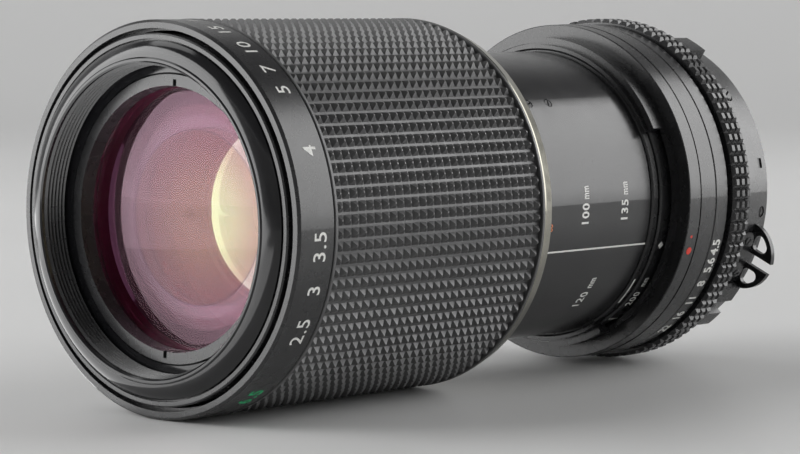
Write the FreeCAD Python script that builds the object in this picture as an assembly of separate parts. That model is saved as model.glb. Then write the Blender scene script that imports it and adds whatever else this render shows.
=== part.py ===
"""Push-pull zoom lens for a camera, built as separate pieces.

Millimetres, +Z up. The optical axis lies along Y and the front of the lens looks towards -Y.
The origin is the centre of the mount flange's face. Angles turn round the axis from +X towards +Z.
"""
import FreeCAD, Part
import math
import os

from FreeCAD import Vector

os.makedirs("parts", exist_ok=True)

ORIGIN = Vector(0, 0, 0)
TURN_AXIS = Vector(0, -1, 0)

# Clearances
running_fit = 0.08
clear = 0.3
seat_gap = 0.02
slide_gap = 0.1
fine_edge = 0.25
cut_past = 1.0

# Motion
zoom_travel = 35.2
focus_travel = 8.5
cam_turn = 60.0
variator_travel = 22.0
compensator_travel = 4.2
first_stop_turn = 6.5
stop_turn = 7.45
full_stops = 4

# Radii from the guide tube outwards, each one wall or gap beyond the last
guide_bore_r = 21.0
guide_wall = 1.0
guide_r = guide_bore_r + guide_wall
cam_wall = 1.52
cam_r = guide_r + running_fit + cam_wall
cam_gap = 1.7
barrel_bore_r = cam_r + cam_gap
barrel_wall = 1.5
barrel_r = barrel_bore_r + barrel_wall
slider_wall = 1.42
slider_r = barrel_r + running_fit + slider_wall
slider_gap = 0.4
front_barrel_bore_r = slider_r + slider_gap
front_barrel_wall = 1.8
front_barrel_r = front_barrel_bore_r + front_barrel_wall
sleeve_gap = 0.7
sleeve_bore_r = front_barrel_r + sleeve_gap
sleeve_wall = 1.0
sleeve_r = sleeve_bore_r + sleeve_wall
rubber_wall = 0.8
rim_r = sleeve_r + rubber_wall

# Fixed barrel and housing
index_angle = -18.0
barrel_front = -118.0
barrel_rear = -25.5
barrel_nose_step = 0.8
barrel_nose_r = barrel_r - barrel_nose_step
barrel_nose_length = 4.5
index_band_wall = 0.5
index_band_r = barrel_r + index_band_wall
index_ring_step = 0.5
index_ring_r = index_band_r + index_ring_step
lip_inner_rise = 0.25
lip_inner_r = index_ring_r + lip_inner_rise
lip_gap = 0.4
lip_outer_bore_r = lip_inner_r + lip_gap
lip_outer_wall = 0.95
lip_outer_r = lip_outer_bore_r + lip_outer_wall
housing_rim_drop = 0.1
housing_rim_r = lip_outer_r - housing_rim_drop
housing_face_width = 2.5
housing_r = housing_rim_r + housing_face_width
band_step = 0.1
housing_rim_front = -30.8
window_rim_front = -30.2
housing_face = -28.95
housing_bevel = 0.15
band_line = -25.7
line_width = 0.2
line_depth = 0.25
housing_shoulder = -21.2
aperture_ring_depth = 4.2
sleeve_tube_r = housing_r - aperture_ring_depth
sleeve_tube_wall = 3.1
flange_thickness = 2.2

# Stepped lips round the barrel, with a window at the index
window_start = -61.0
window_end = 26.0
lip_base_front = -32.9
lip_outer_front = -33.1
parked_gap = 0.25
index_groove_front = -32.75
index_groove_depth = 0.25
index_ring_front = -32.45
index_bevel = 0.3

# Sliding sleeve with its rubber grip
rim_y = -133.0
rim_wall = 1.4
rim_inner_r = rim_r - rim_wall
rim_bevel = 0.9
name_band_length = 7.9
grip_front_gap = 0.3
rubber_drop = 0.05
rubber_r = rim_r - rubber_drop
rubber_bead_rise = 0.1
rubber_bead_r = rim_r + rubber_bead_rise
rubber_bead_length = 0.7
trim_front = -72.3
trim_length = 2.6
trim_slope = 0.7
trim_edge_r = rim_r - trim_slope
trim_edge = 0.3
trim_gap = 0.5
trim_bore_r = barrel_r + trim_gap
collar_length = 3.5
sleeve_web = 2.0
slider_front = -112.6
key_inset = 2.0
key_r = 1.2
key_gap = 0.2
zoom_key_angles = (90.0, 270.0)
focus_key_angle = 200.0
focus_key_width = 3.0
focus_key_length = 3.0
focus_key_height = 0.9

# Front barrel and filter ring
front_collar_gap = 0.8
front_collar_r = rim_inner_r - front_collar_gap
front_collar_length = 2.7
front_collar_y = -133.4
front_groove_margin = 0.4
front_wall = 1.0
front_bore_r = front_barrel_r - front_wall
front_lip_wall = 0.9
front_lip_bore_r = front_collar_r - front_lip_wall
front_lip_depth = 1.0
dome_r = front_lip_bore_r - clear
dome_y = -133.55
dome_bulge = 0.75
filter_lip_y = -135.4
dome_width = 3.6
filter_thread_r = dome_r - dome_width
filter_lip_wall = 0.9
filter_lip_r = filter_thread_r + filter_lip_wall
filter_thread_length = 5.8
thread_relief_length = 0.5
thread_relief_depth = 0.2
filter_ring_rear = -128.3

# Focusing helicoid
helicoid_nut_wall = 1.3
helicoid_r = front_bore_r - helicoid_nut_wall
helicoid_front = -128.0
helicoid_overlap = 6.0
helicoid_length = focus_travel + helicoid_overlap
helicoid_nut_length = 12.0
helicoid_start_count = 5
helicoid_groove = 0.35

# Front lens group
front_cell_r = barrel_bore_r - running_fit
front_cell_wall = 1.22
front_cell_front = filter_ring_rear + clear
front_cell_rear = -113.2
glass_gap = 0.1
retainer_r = front_cell_r - front_cell_wall
retainer_front = -129.8
retainer_wall = 2.1
retainer_bore_r = retainer_r - retainer_wall
retainer_bevel = 0.2
retainer_mouth_r = retainer_bore_r + retainer_bevel
retainer_cover = 0.9
front_glass_r = retainer_bore_r + retainer_cover
retainer_length = 2.9
spanner_notch_angles = (-93.4, 86.6)
spanner_notch_width = 0.8
spanner_notch_depth = 0.6
spanner_notch_reach = 1.3
front_shoulder = 2.3
front_shoulder_bore_r = front_glass_r - front_shoulder
front_glass_edge = (2.5, 3.5, 3.9)
front_glass_front_bulge = (2.2, 0.9, 0.0)
front_glass_rear_bulge = (0.6, 0.0, 0.8)
front_spacer_length = 2.4
spacer_wall = 1.0

# Cam sleeve and guide tube
guide_front = -112.7
guide_rear = -48.0
guide_flange = 1.6
cam_rear = -50.0
cam_steps = 8
pin_r = 1.2
pin_seat = 1.4
pin_base_r = guide_bore_r - pin_seat

# Variator and compensator groups
group_lip = 1.2
rolled_lip = 0.5
rolled_lip_length = 0.6
variator_front = -105.0
variator_length = 13.0
variator_glass_r = 15.0
variator_glass_inset = 1.4
variator_glass_edges = (2.6, 4.1)
variator_front_bulges = (0.3, -1.2)
variator_rear_bulges = (-0.9, 0.0)
variator_pin_y = -98.0
variator_pin_angles = (30.0, 210.0)
compensator_front = -60.0
compensator_length = 7.0
compensator_glass_r = 15.0
compensator_glass_edge = 4.3
compensator_glass_bulge = 0.9
compensator_pin_y = -56.5
compensator_pin_angles = (150.0, 330.0)

# Spigot of the mount, and the lever and the rear cell inside it
spigot_r = 21.9
spigot_wall = 1.0
spigot_bore_r = spigot_r - spigot_wall
lever_gap = 0.3
lever_outer_r = spigot_bore_r - lever_gap
lever_thickness = 1.0
lever_inner_r = lever_outer_r - lever_thickness
rear_cell_gap = 0.4
rear_cell_r = lever_inner_r - rear_cell_gap

# Iris
blade_count = 7
iris_open_r = 10.0
blade_width = 5.5
blade_sweep = 112.0
blade_thickness = 0.2
blade_pitch = 0.3
iris_bore_gap = 0.8
iris_bore_r = lever_outer_r + iris_bore_gap
blade_lug_r = 1.2
blade_lug_gap = 0.2
drive_circle_r = iris_bore_r - blade_lug_gap - blade_lug_r
drive_pin_r = 0.5
drive_pin_gap = 0.15
blade_arm = 3.0
pivot_circle_r = drive_circle_r - blade_arm
pivot_pin_r = 0.6
blade_turn = 27.1
iris_base_y = -40.2
iris_base_thickness = 1.2
iris_base_bore_r = 10.6
iris_housing_r = barrel_bore_r - slide_gap
iris_housing_front = -45.0
actuator_thickness = 1.0
actuator_overlap = 0.6
actuator_bore_r = pivot_circle_r - actuator_overlap
iris_first_angle = 10.0

# Relay groups behind the iris
relay_front_y = -52.0
relay_front_glass_r = 11.5
relay_front_wall = 2.6
relay_front_edge = 3.2
relay_front_bulges = (0.4, -0.6)
relay_front_lip = 1.0
rear_cell_front = -38.9
rear_cell_rear = 3.0
rear_glass_r = 14.0
rear_glass_edges = (3.0, 3.6)
rear_front_bulges = (1.2, 0.8)
rear_rear_bulges = (-0.6, 0.7)
rear_step = 1.5
rear_ring_wall = 1.6
rear_ring_length = 2.3
rear_ring_inset = 0.4
rear_web_front = -25.0
rear_web = 2.0
lever_angle = 150.0
lever_width_angle = 5.0
lever_tip_y = 4.0
lever_tip_length = 2.4
lever_tip_step = 0.2
baffle_thickness = 0.6
baffle_window_width = 25.0
baffle_window_height = 18.0
baffle_corner_r = 2.0

# Aperture ring
ring_front = -20.85
number_band_end = -17.3
ring_groove_depth = 0.8
ring_groove_r = housing_r - ring_groove_depth
knurl_front = -16.2
knurl_rear = -11.1
knurl_rows = 3
knurl_count = 96
knurl_first_angle = 0.6
knurl_step = 0.4
knurl_root_r = housing_r + knurl_step
knurl_height = 0.7
knurl_tip_r = knurl_root_r + knurl_height
knurl_top_share = 0.5
knurl_wall = 1.2
knurl_core_r = knurl_root_r - knurl_wall
knurl_root_overlap = 0.4
skirt_step = 1.3
skirt_front_r = housing_r - skirt_step
skirt_slope = 0.9
skirt_rear_r = skirt_front_r - skirt_slope
ring_rear = -1.3
ring_tab_angles = (61.5, -38.2, -50.8)
ring_tab_spread = (9.0, 6.2, 6.6)
ring_tab_rise = 0.2
ring_tab_r = housing_r + ring_tab_rise
ring_tab_rear = -5.0
skirt_pocket_angle = 10.6
skirt_pocket_y = -3.5
skirt_pocket_length = 1.5
skirt_pocket_width = 1.9
skirt_pocket_depth = 0.35
skirt_screw_angle = -7.4
skirt_screw_y = -3.2
skirt_screw_r = 1.05
skirt_screw_drop = 0.25
ring_screw_angle = 38.0
ring_screw_y = -6.8
ring_screw_r = 1.3
ring_screw_rise = 0.2
ring_screw_sink_gap = 0.3
ring_screw_sink = 0.5
ring_hole_floor = 0.8
ball_angle = 100.0
ball_y = -13.0
ball_r = 0.9
race_depth = 0.6
race_r = sleeve_tube_r + race_depth
race_width = 2.4
ball_drop = 0.4
ball_centre_r = race_r - ball_drop - ball_r
detent_r = 0.7
detent_depth = 0.3
spring_depth = 2.6
spring_base_r = sleeve_tube_r - spring_depth
spring_wire_r = 0.12
spring_coil_r = 0.6
spring_turns = 3

# Metering prong
prong_angle = index_angle - first_stop_turn
prong_y = -4.6
prong_thickness = 1.0
prong_r = 6.6
prong_foot_drop = 1.6
prong_foot_r = ring_tab_r - prong_foot_drop
prong_centre_drop = 1.4
prong_centre_r = prong_foot_r - prong_centre_drop
prong_slot_width = 2.1
prong_slot_drop = 0.1
prong_slot_floor_r = prong_foot_r - prong_slot_drop
prong_rib = 0.9
prong_hole_r = prong_r - prong_rib
prong_hole_corner = 1.1
prong_foot_front = -8.4
prong_foot_thickness = 0.8
prong_screw_rise = 0.2
prong_foot_spread = 20.0
prong_screw_r = 0.9
prong_screw_y = -6.5
prong_screw_offset = 6.5

# Bayonet mount
flange_r = sleeve_tube_r - slide_gap
spigot_length = 5.6
lug_height = 1.5
lug_r = spigot_r + lug_height
root_relief_depth = 0.3
root_relief_r = lug_r + clear
lug_front = 1.9
lug_thickness = 1.4
lug_root = 0.5
flange_edge = 0.3
lug_centres = (70.0, 190.0, 310.0)
lug_spreads = (56.0, 60.0, 64.0)
mount_screw_inset = 1.6
mount_screw_circle_r = sleeve_tube_r - mount_screw_inset
mount_screw_count = 5
mount_screw_first = 30.0
mount_screw_r = 0.8
mount_screw_head_r = 1.15
mount_screw_length = 4.0
mount_screw_head = 0.7
mount_screw_recess = 0.05
lock_slot_angle = 172.0
lock_slot_width = 2.6
lock_slot_inset = 0.6
lock_slot_inner_r = root_relief_r + lock_slot_inset
lock_slot_depth = 1.4

# Screws in the barrel wall
barrel_screw_angle = 42.0
barrel_screw_places = (-61.2, -55.7)
barrel_screw_r = 0.9
barrel_screw_depth = 1.1


def spot(r, angle, y):
    """The point at radius r, at an angle round the axis and at a place along it."""
    a = math.radians(angle)
    return Vector(r * math.cos(a), y, r * math.sin(a))


def polar(angle):
    """The unit vector that points outwards at an angle."""
    return spot(1.0, angle, 0.0)


def spun(shape, angle):
    """A copy of a shape turned round the optical axis."""
    copy = shape.copy()
    copy.rotate(ORIGIN, TURN_AXIS, angle)
    return copy


def turned(profile, start=0.0, sweep=360.0):
    """A profile of (y, r) points turned round the axis, whole or from one angle over a sweep."""
    wire = Part.makePolygon([Vector(r, y, 0) for y, r in profile + profile[:1]])
    solid = Part.Face(wire).revolve(ORIGIN, TURN_AXIS, sweep)
    return spun(solid, start)


def tube(front, rear, bore, outer, start=0.0, sweep=360.0):
    """A plain tube, or a stretch of one, between two places along the axis."""
    return turned([(front, bore), (front, outer), (rear, outer), (rear, bore)], start, sweep)


def rod(y0, y1, r, angle, radius):
    """A round rod along the axis, at radius r."""
    return Part.makeCylinder(radius, y1 - y0, spot(r, angle, y0), Vector(0, 1, 0))


def stud(r0, r1, angle, y, radius):
    """A round stud that points outwards from radius r0 to r1."""
    return Part.makeCylinder(radius, r1 - r0, spot(r0, angle, y), polar(angle))


def block(r0, r1, y0, y1, width, angle):
    """A straight-sided block that stands on the axis at an angle."""
    box = Part.makeBox(r1 - r0, y1 - y0, width, Vector(r0, y0, -width / 2))
    return spun(box, angle)


def lens_glass(front, edge, radius, front_bulge, rear_bulge):
    """A round glass. Its edge starts at front, and each face bulges by its own amount."""
    rear = front + edge
    edges = []
    if front_bulge:
        side = 1 if front_bulge > 0 else -1
        middle_r = radius / 2
        curve = (radius * radius + front_bulge * front_bulge) / (2 * abs(front_bulge))
        drop = curve - math.sqrt(curve * curve - middle_r * middle_r)
        top = Vector(0, front - front_bulge, 0)
        middle = Vector(middle_r, front - front_bulge + side * drop, 0)
        edges.append(Part.Arc(top, middle, Vector(radius, front, 0)).toShape())
    else:
        edges.append(Part.makeLine(Vector(0, front, 0), Vector(radius, front, 0)))
    edges.append(Part.makeLine(Vector(radius, front, 0), Vector(radius, rear, 0)))
    if rear_bulge:
        side = 1 if rear_bulge > 0 else -1
        middle_r = radius / 2
        curve = (radius * radius + rear_bulge * rear_bulge) / (2 * abs(rear_bulge))
        drop = curve - math.sqrt(curve * curve - middle_r * middle_r)
        top = Vector(0, rear + rear_bulge, 0)
        middle = Vector(middle_r, rear + rear_bulge - side * drop, 0)
        edges.append(Part.Arc(Vector(radius, rear, 0), middle, top).toShape())
    else:
        edges.append(Part.makeLine(Vector(radius, rear, 0), Vector(0, rear, 0)))
    edges.append(Part.makeLine(Vector(0, rear + rear_bulge, 0), Vector(0, front - front_bulge, 0)))
    return Part.Face(Part.Wire(edges)).revolve(ORIGIN, TURN_AXIS, 360)


def helical_slot(bore, outer, y0, angle0, y1, angle1, half_width):
    """The space of a slot that climbs at a steady rate, cut by a follower of the given half width."""
    middle_r = (bore + outer) / 2
    around = math.radians(angle1 - angle0) * middle_r
    length = math.hypot(around, y1 - y0)
    beyond = half_width / length
    sections = []
    for i in range(cam_steps + 1):
        share = (1 + 2 * beyond) * i / cam_steps - beyond
        angle = angle0 + (angle1 - angle0) * share
        ring_side = polar(angle + 90.0)
        across = ring_side * ((y1 - y0) / length) - Vector(0, around / length, 0)
        corners = []
        for side, r in ((1, bore), (1, outer), (-1, outer), (-1, bore)):
            corners.append(spot(r, angle, y0 + (y1 - y0) * share) + across * side * half_width)
        sections.append(Part.makePolygon(corners + corners[:1]))
    space = Part.makeLoft(sections, True, True)
    if space.Volume < 0:
        space.reverse()
    return space


def crown(radius, bulge, r):
    """How far a bulging face stands beyond its edge at radius r. A hollow face doesn't."""
    if bulge <= 0:
        return 0.0
    curve = (radius * radius + bulge * bulge) / (2 * bulge)
    return math.sqrt(curve * curve - r * r) - curve + bulge


def save(name, shape):
    """Writes one piece's STEP file."""
    if not shape.isValid():
        print("not valid:", name)
    shape.exportStep("parts/" + name + ".step")
    print(name, len(shape.Solids), "solids", round(shape.Volume, 2), "mm3")


def main_barrel():
    """The fixed scale barrel, with a straight slot for each zoom key."""
    bore = barrel_bore_r
    nose_end = barrel_front + barrel_nose_length
    profile = [(barrel_front, bore), (barrel_front, barrel_nose_r), (nose_end, barrel_nose_r)]
    profile += [(nose_end, barrel_r), (barrel_rear, barrel_r), (barrel_rear, bore)]
    shape = turned(profile)
    slot_front = slider_front + key_inset - key_r - key_gap
    slot_rear = slider_front + key_inset + zoom_travel + key_r + key_gap
    for angle in zoom_key_angles:
        slot = block(bore - cut_past, barrel_r + cut_past, slot_front, slot_rear, 2 * (key_r + key_gap), angle)
        shape = shape.cut(slot)
    for y in barrel_screw_places:
        hole = stud(barrel_r - barrel_screw_depth, barrel_r + cut_past, barrel_screw_angle, y, barrel_screw_r)
        shape = shape.cut(hole)
    return shape


def barrel_screws():
    """Two small slotted screws, flush in the barrel's wall."""
    screws = []
    for y in barrel_screw_places:
        seat = barrel_r - barrel_screw_depth + seat_gap
        screws.append(stud(seat, barrel_r - seat_gap, barrel_screw_angle, y, barrel_screw_r - seat_gap))
    return Part.makeCompound(screws)


def helicoid_tube():
    """The fixed half of the focusing helicoid, screwed on the barrel's nose."""
    bore = front_cell_r + running_fit
    nose_r = barrel_nose_r + seat_gap
    rear = helicoid_front + helicoid_length
    profile = [(helicoid_front, bore), (helicoid_front, helicoid_r), (rear, helicoid_r), (rear, nose_r)]
    profile += [(barrel_front - seat_gap, nose_r), (barrel_front - seat_gap, bore)]
    shape = turned(profile)
    pitch = helicoid_length / (helicoid_start_count + 1)
    for i in range(helicoid_start_count):
        middle = helicoid_front + pitch * (i + 1)
        groove = tube(middle - helicoid_groove, middle + helicoid_groove, helicoid_r - helicoid_groove,
                      helicoid_r + cut_past)
        shape = shape.cut(groove)
    return shape


def helicoid_nut():
    """The turning half of the focusing helicoid, a ring pressed into the front barrel."""
    front = filter_ring_rear + seat_gap
    return tube(front, front + helicoid_nut_length, helicoid_r + running_fit, front_bore_r - seat_gap)


def rear_housing():
    """The rear housing: its face with a low rim, two bands and the tube for the aperture ring."""
    bore = barrel_r + seat_gap
    inner = sleeve_tube_r - sleeve_tube_wall
    rear = -flange_thickness
    band_r = housing_r + band_step
    profile = [(housing_face, bore), (housing_face, lip_outer_bore_r), (housing_rim_front, lip_outer_bore_r)]
    profile += [(housing_rim_front, housing_rim_r), (housing_face, housing_rim_r)]
    profile += [(housing_face, housing_r - housing_bevel), (housing_face + housing_bevel, housing_r)]
    profile += [(band_line, housing_r), (band_line, housing_r - line_depth)]
    profile += [(band_line + line_width, housing_r - line_depth)]
    profile += [(band_line + line_width, band_r), (housing_shoulder, band_r)]
    profile += [(housing_shoulder, sleeve_tube_r), (rear, sleeve_tube_r), (rear, inner)]
    profile += [(barrel_rear + seat_gap, inner), (barrel_rear + seat_gap, bore)]
    shape = turned(profile)
    window = tube(housing_rim_front - cut_past, window_rim_front, lip_outer_bore_r - cut_past,
                  housing_rim_r + cut_past, window_start, window_end - window_start)
    shape = shape.cut(window)
    shape = shape.cut(stud(spring_base_r, sleeve_tube_r + cut_past, ball_angle, ball_y, ball_r + running_fit))
    for i in range(mount_screw_count):
        angle = mount_screw_first + i * 360.0 / mount_screw_count
        hole = rod(-mount_screw_length - seat_gap, rear + cut_past, mount_screw_circle_r, angle,
                   mount_screw_r + seat_gap)
        shape = shape.cut(hole)
    return shape


def parked_end():
    """Where the stepped lips start, just behind the sleeve's rear end at full zoom."""
    return trim_front + trim_length + zoom_travel + parked_gap


def stop_ring():
    """Two stepped lips in one ring, broken by the window at the index."""
    front = parked_end()
    rear = housing_rim_front - seat_gap
    step = index_ring_front - clear / 2
    band_bore = index_band_r + running_fit
    ring_bore = index_ring_r + running_fit
    profile = [(front, band_bore), (front, lip_inner_r), (lip_base_front, lip_inner_r)]
    profile += [(lip_base_front, lip_outer_bore_r), (lip_outer_front, lip_outer_bore_r)]
    profile += [(lip_outer_front, lip_outer_r), (rear - housing_bevel, lip_outer_r)]
    profile += [(rear, lip_outer_r - housing_bevel), (rear, ring_bore), (step, ring_bore), (step, band_bore)]
    return turned(profile, window_end, 360.0 - (window_end - window_start))


def index_ring():
    """The stepped ring on the barrel that shows through the window and carries the index."""
    bore = barrel_r + seat_gap
    front = parked_end()
    groove_r = index_band_r - index_groove_depth
    rear = housing_face - seat_gap
    profile = [(front, bore), (front, index_band_r - index_bevel), (front + index_bevel, index_band_r)]
    profile += [(index_groove_front, index_band_r), (index_groove_front, groove_r)]
    profile += [(index_ring_front, groove_r), (index_ring_front, index_ring_r - index_bevel)]
    profile += [(index_ring_front + index_bevel, index_ring_r), (rear, index_ring_r), (rear, bore)]
    return turned(profile)


def sleeve_front():
    """The front bezel of the sliding sleeve: a flat rim and the smooth band behind it."""
    rear = rim_y + name_band_length
    profile = [(rim_y, rim_inner_r), (rim_y, rim_r - rim_bevel / 2), (rim_y + rim_bevel / 2, rim_r)]
    profile += [(rear, rim_r), (rear, sleeve_bore_r), (rim_y + 3 * rim_bevel, sleeve_bore_r)]
    profile += [(rim_y + 3 * rim_bevel, rim_inner_r)]
    return turned(profile)


def grip_sleeve():
    """The metal sleeve under the rubber, with a web in front of the slider's collar."""
    front = rim_y + name_band_length + seat_gap
    web_rear = trim_front - collar_length - 2 * slide_gap
    web_front = web_rear - sleeve_web
    web_bore = slider_r + clear
    profile = [(front, sleeve_bore_r), (front, sleeve_r), (trim_front - seat_gap, sleeve_r)]
    profile += [(trim_front - seat_gap, sleeve_bore_r), (web_rear, sleeve_bore_r), (web_rear, web_bore)]
    profile += [(web_front, web_bore), (web_front, sleeve_bore_r)]
    return turned(profile)


def rubber_grip():
    """The rubber grip. Its moulded rows stand on a tube with a plain bead at each end."""
    front = rim_y + name_band_length + grip_front_gap
    rear = trim_front - seat_gap
    bore = sleeve_r + seat_gap
    profile = [(front, bore), (front, rubber_bead_r), (front + rubber_bead_length, rubber_bead_r)]
    profile += [(front + rubber_bead_length, rubber_r), (rear - rubber_bead_length, rubber_r)]
    profile += [(rear - rubber_bead_length, rubber_bead_r), (rear, rubber_bead_r), (rear, bore)]
    return turned(profile)


def rear_trim_ring():
    """The bright-edged ring at the sleeve's rear end, which traps the slider's collar."""
    rear = trim_front + trim_length
    profile = [(trim_front, trim_bore_r), (trim_front, rim_r), (trim_front + trim_edge, rim_r)]
    profile += [(rear, trim_edge_r), (rear, trim_bore_r)]
    return turned(profile)


def focus_key():
    """The key inside the sleeve's front end that turns the front barrel."""
    front = rim_y + 3 * rim_bevel + seat_gap
    bottom = sleeve_bore_r - focus_key_height
    key = block(bottom, sleeve_bore_r + cut_past, front, front + focus_key_length, focus_key_width,
                focus_key_angle)
    inside = rod(front - cut_past, front + focus_key_length + cut_past, 0, 0, sleeve_bore_r - seat_gap)
    return key.common(inside)


def zoom_slider():
    """The tube that slides with the sleeve and lets it turn. It holds the zoom keys."""
    bore = barrel_r + running_fit
    outer = slider_r
    rear = trim_front - slide_gap
    collar = rear - collar_length
    collar_r = sleeve_bore_r - running_fit
    profile = [(slider_front, bore), (slider_front, outer), (collar, outer), (collar, collar_r)]
    profile += [(rear, collar_r), (rear, bore)]
    shape = turned(profile)
    for angle in zoom_key_angles:
        hole = stud(bore - cut_past, outer + cut_past, angle, slider_front + key_inset, key_r + seat_gap)
        shape = shape.cut(hole)
    return shape


def zoom_keys():
    """Two shouldered pins that reach through the barrel's slots into the cam sleeve."""
    pins = []
    for angle in zoom_key_angles:
        pins.append(stud(guide_r + clear, slider_r - slide_gap, angle, slider_front + key_inset, key_r))
    return Part.makeCompound(pins)


def front_barrel():
    """The barrel that the sleeve slides over. It turns and travels with the front group."""
    key_end = rim_y + 3 * rim_bevel + seat_gap + focus_key_length
    rear = key_end + zoom_travel + focus_travel + front_groove_margin
    bore = front_barrel_bore_r
    nut_rear = filter_ring_rear + helicoid_nut_length + 2 * seat_gap
    lip_end = front_collar_y + front_lip_depth
    collar_end = front_collar_y + front_collar_length
    profile = [(front_collar_y, front_lip_bore_r), (front_collar_y, front_collar_r - fine_edge)]
    profile += [(front_collar_y + fine_edge, front_collar_r), (collar_end, front_collar_r)]
    profile += [(collar_end, front_barrel_r)]
    profile += [(rear, front_barrel_r), (rear, bore), (nut_rear, bore), (nut_rear, front_bore_r)]
    profile += [(lip_end, front_bore_r), (lip_end, front_lip_bore_r)]
    shape = turned(profile)
    depth = focus_key_height - (sleeve_bore_r - front_barrel_r) + clear
    key_front = key_end - focus_key_length
    groove = block(front_barrel_r - depth, front_barrel_r + cut_past, key_front - clear, rear + cut_past,
                   focus_key_width + 2 * slide_gap, focus_key_angle)
    return shape.cut(groove)


def filter_ring():
    """The domed front ring with the filter thread's bore."""
    outer = front_bore_r - seat_gap
    step = front_collar_y + front_lip_depth + seat_gap
    thread_end = filter_lip_y + filter_thread_length
    shoulder_r = retainer_r + clear
    edge_y = filter_lip_y + fine_edge
    points = [Vector(filter_thread_r, edge_y, 0), Vector(filter_thread_r + fine_edge, filter_lip_y, 0)]
    points += [Vector(filter_lip_r - fine_edge, filter_lip_y, 0), Vector(filter_lip_r, edge_y, 0)]
    dome_start = points[-1]
    dome_end = Vector(dome_r, dome_y, 0)
    middle = (dome_start + dome_end) * 0.5
    chord = dome_end - dome_start
    out = Vector(chord.y, -chord.x, 0)
    out.normalize()
    crest = middle + out * dome_bulge * 0.5
    wires = [Part.makePolygon(points), Part.Arc(dome_start, crest, dome_end).toShape()]
    rest = [dome_end, Vector(dome_r, step - 2 * seat_gap, 0), Vector(outer, step - 2 * seat_gap, 0)]
    rest += [Vector(outer, filter_ring_rear, 0), Vector(shoulder_r, filter_ring_rear, 0)]
    relief_r = filter_thread_r + thread_relief_depth
    relief_start = thread_end - thread_relief_length
    rest += [Vector(shoulder_r, thread_end, 0), Vector(relief_r, thread_end, 0)]
    rest += [Vector(filter_thread_r, relief_start, 0), points[0]]
    wires.append(Part.makePolygon(rest))
    edges = []
    for wire in wires:
        edges += wire.Edges
    profile = Part.Wire(Part.__sortEdges__(edges))
    return Part.Face(profile).revolve(ORIGIN, TURN_AXIS, 360)


def front_places():
    """Where the edge of each front glass starts."""
    first = retainer_front + retainer_length
    second = first + front_glass_edge[0] + front_spacer_length
    third = second + front_glass_edge[1]
    return first, second, third


def front_cell():
    """The tube that holds the three front glasses."""
    first = front_places()[0]
    last = front_places()[2] + front_glass_edge[2]
    seat = last + seat_gap + crown(front_glass_r, front_glass_rear_bulge[2], front_shoulder_bore_r)
    bore = front_glass_r + glass_gap
    profile = [(front_cell_front, retainer_r + seat_gap), (front_cell_front, front_cell_r)]
    profile += [(front_cell_rear, front_cell_r), (front_cell_rear, front_shoulder_bore_r)]
    profile += [(seat, front_shoulder_bore_r), (seat, bore), (first, bore)]
    profile += [(first, retainer_r + seat_gap)]
    return turned(profile)


def front_retaining_ring():
    """The ring that holds the front glass. Two notches in it take a spanner."""
    rear = front_places()[0] - seat_gap - crown(front_glass_r, front_glass_front_bulge[0], retainer_bore_r)
    profile = [(retainer_front, retainer_mouth_r), (retainer_front, retainer_r), (rear, retainer_r)]
    profile += [(rear, retainer_bore_r)]
    shape = turned(profile)
    for angle in spanner_notch_angles:
        notch = block(retainer_bore_r - cut_past, retainer_bore_r + spanner_notch_reach,
                      retainer_front - cut_past, retainer_front + spanner_notch_depth, spanner_notch_width,
                      angle)
        shape = shape.cut(notch)
    return shape


def front_glasses():
    """The three glasses of the front group."""
    glasses = []
    for place, edge, ahead, behind in zip(front_places(), front_glass_edge, front_glass_front_bulge,
                                          front_glass_rear_bulge):
        glasses.append(lens_glass(place + seat_gap, edge - 2 * seat_gap, front_glass_r, ahead, behind))
    return glasses


def front_spacer():
    """The ring between the first and second front glasses."""
    bore = front_glass_r - spacer_wall
    front = front_places()[0] + front_glass_edge[0] + seat_gap
    rear = front_places()[1] - seat_gap
    front += crown(front_glass_r, front_glass_rear_bulge[0], bore)
    rear -= crown(front_glass_r, front_glass_front_bulge[1], bore)
    return tube(front, rear, bore, front_glass_r)


def guide_tube():
    """The fixed inner tube, with straight slots that keep the moving groups from turning."""
    rear = guide_rear
    rim = barrel_bore_r - seat_gap
    profile = [(guide_front, guide_bore_r), (guide_front, guide_r), (rear - guide_flange, guide_r)]
    profile += [(rear - guide_flange, rim), (rear, rim), (rear, guide_bore_r)]
    shape = turned(profile)
    width = 2 * (pin_r + key_gap)
    reach = pin_r + key_gap
    for angle in variator_pin_angles:
        slot = block(guide_bore_r - cut_past, guide_r + cut_past, variator_pin_y - reach,
                     variator_pin_y + variator_travel + reach, width, angle)
        shape = shape.cut(slot)
    for angle in compensator_pin_angles:
        slot = block(guide_bore_r - cut_past, guide_r + cut_past,
                     compensator_pin_y - compensator_travel - reach, compensator_pin_y + reach, width, angle)
        shape = shape.cut(slot)
    return shape


def cam_sleeve():
    """The turning sleeve, with climbing slots for the zoom keys and for each moving group's pins."""
    bore = guide_r + running_fit
    shape = tube(guide_front + slide_gap, cam_rear, bore, cam_r)
    inner = bore - cut_past
    outer = cam_r + cut_past
    key_y = slider_front + key_inset
    slots = [(angle, key_y, zoom_travel, key_r) for angle in zoom_key_angles]
    slots += [(angle, variator_pin_y, variator_travel, pin_r) for angle in variator_pin_angles]
    slots += [(angle, compensator_pin_y, -compensator_travel, pin_r) for angle in compensator_pin_angles]
    for angle, y, travel, radius in slots:
        slot = helical_slot(inner, outer, y, angle, y + travel, angle - cam_turn, radius + key_gap)
        shape = shape.cut(slot)
    return shape


def rolled_edge(glass_front, glass_r, bulge):
    """The profile of a cell's front lip, rolled over the edge of its first glass."""
    inner = glass_r - rolled_lip
    rear = glass_front - seat_gap - crown(glass_r, bulge, inner)
    front = rear - rolled_lip_length
    return [(rear, glass_r + glass_gap), (rear, inner), (front, inner), (front, glass_r + glass_gap)]


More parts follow.
